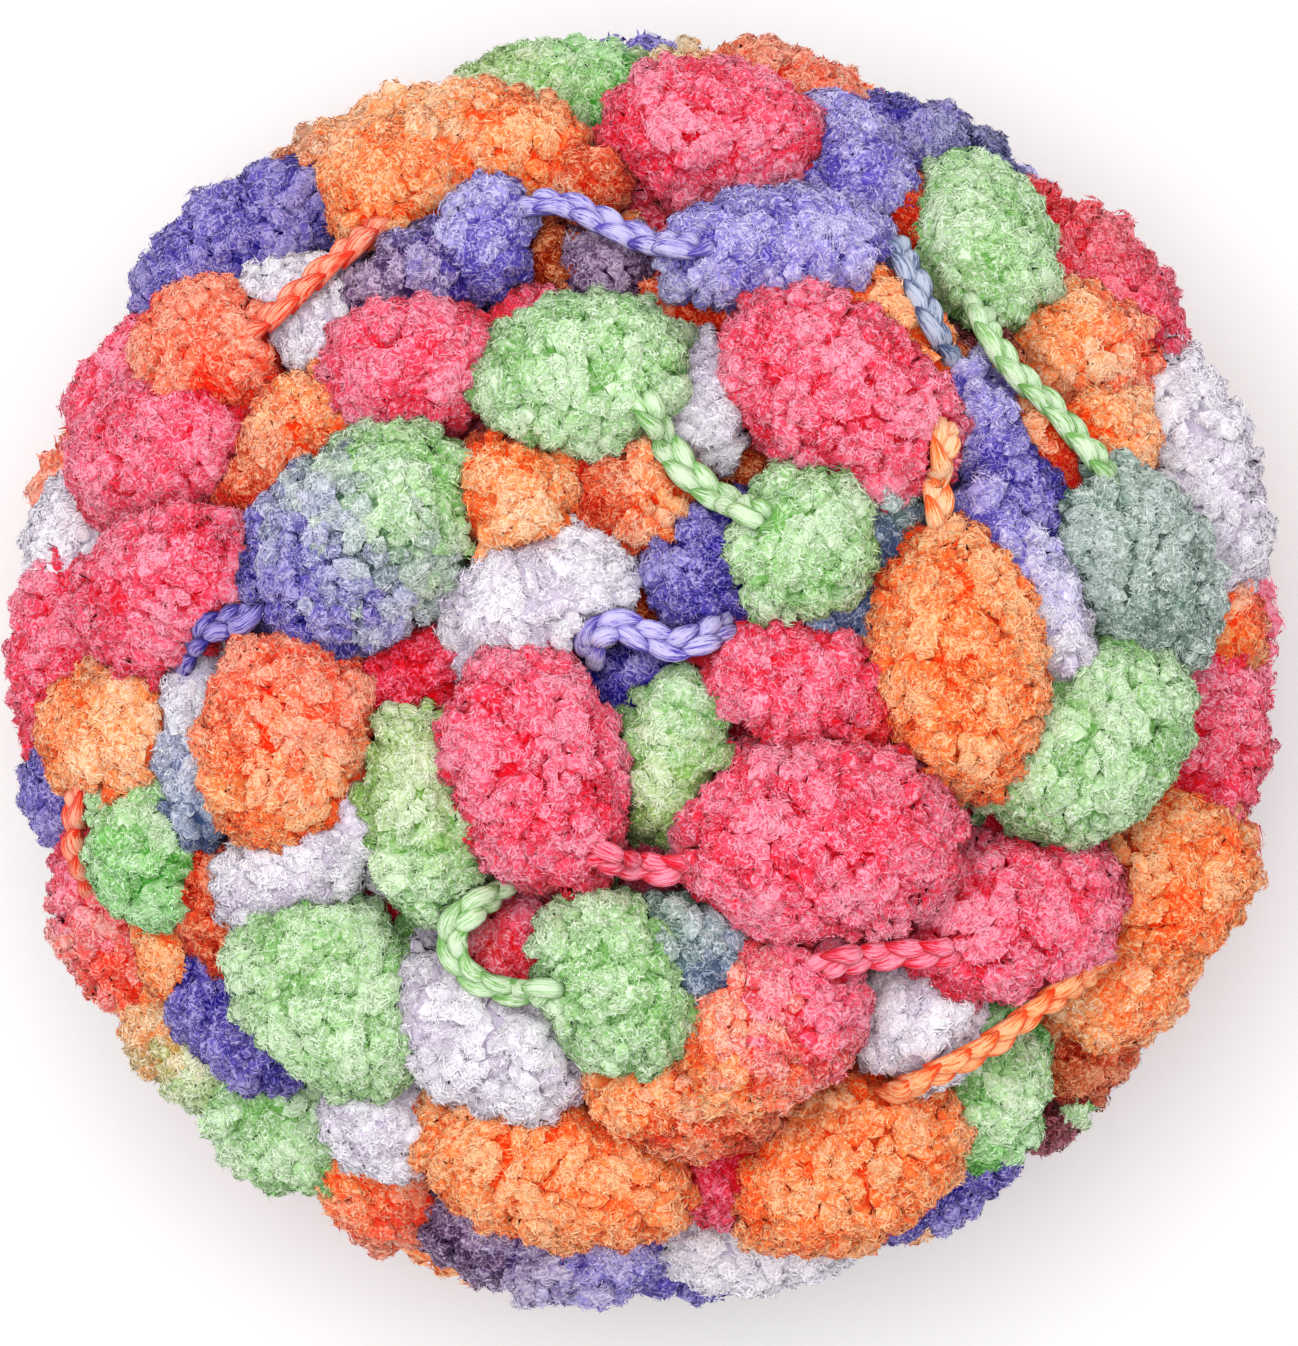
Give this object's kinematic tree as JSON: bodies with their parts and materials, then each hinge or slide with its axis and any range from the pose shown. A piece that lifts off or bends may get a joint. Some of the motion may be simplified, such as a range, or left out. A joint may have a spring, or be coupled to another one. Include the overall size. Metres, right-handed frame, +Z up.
{
  "type": "ball of pom pom yarn",
  "caption": "Wound ball of thick pom pom yarn for knitting or crochet: fluffy tufted lumps in mixed dyes, joined by a short plaited cord.",
  "frame": {"origin": "middle of the flat spot that the ball rests on", "axes": "+Z up along the ball's middle line, out of the broad end that the picture looks down on; +Y towards the top of the picture and +X towards its right"},
  "size_m": [0.1735, 0.174, 0.1103],
  "materials": {
    "pom_pom_yarn": "fluffy matte polyester pile, dyed coral pink, orange, mint green, lilac and white along its length"
  },
  "bodies": {
    "root": {"wound_ball": "pom_pom_yarn"}
  },
  "joints": []
}
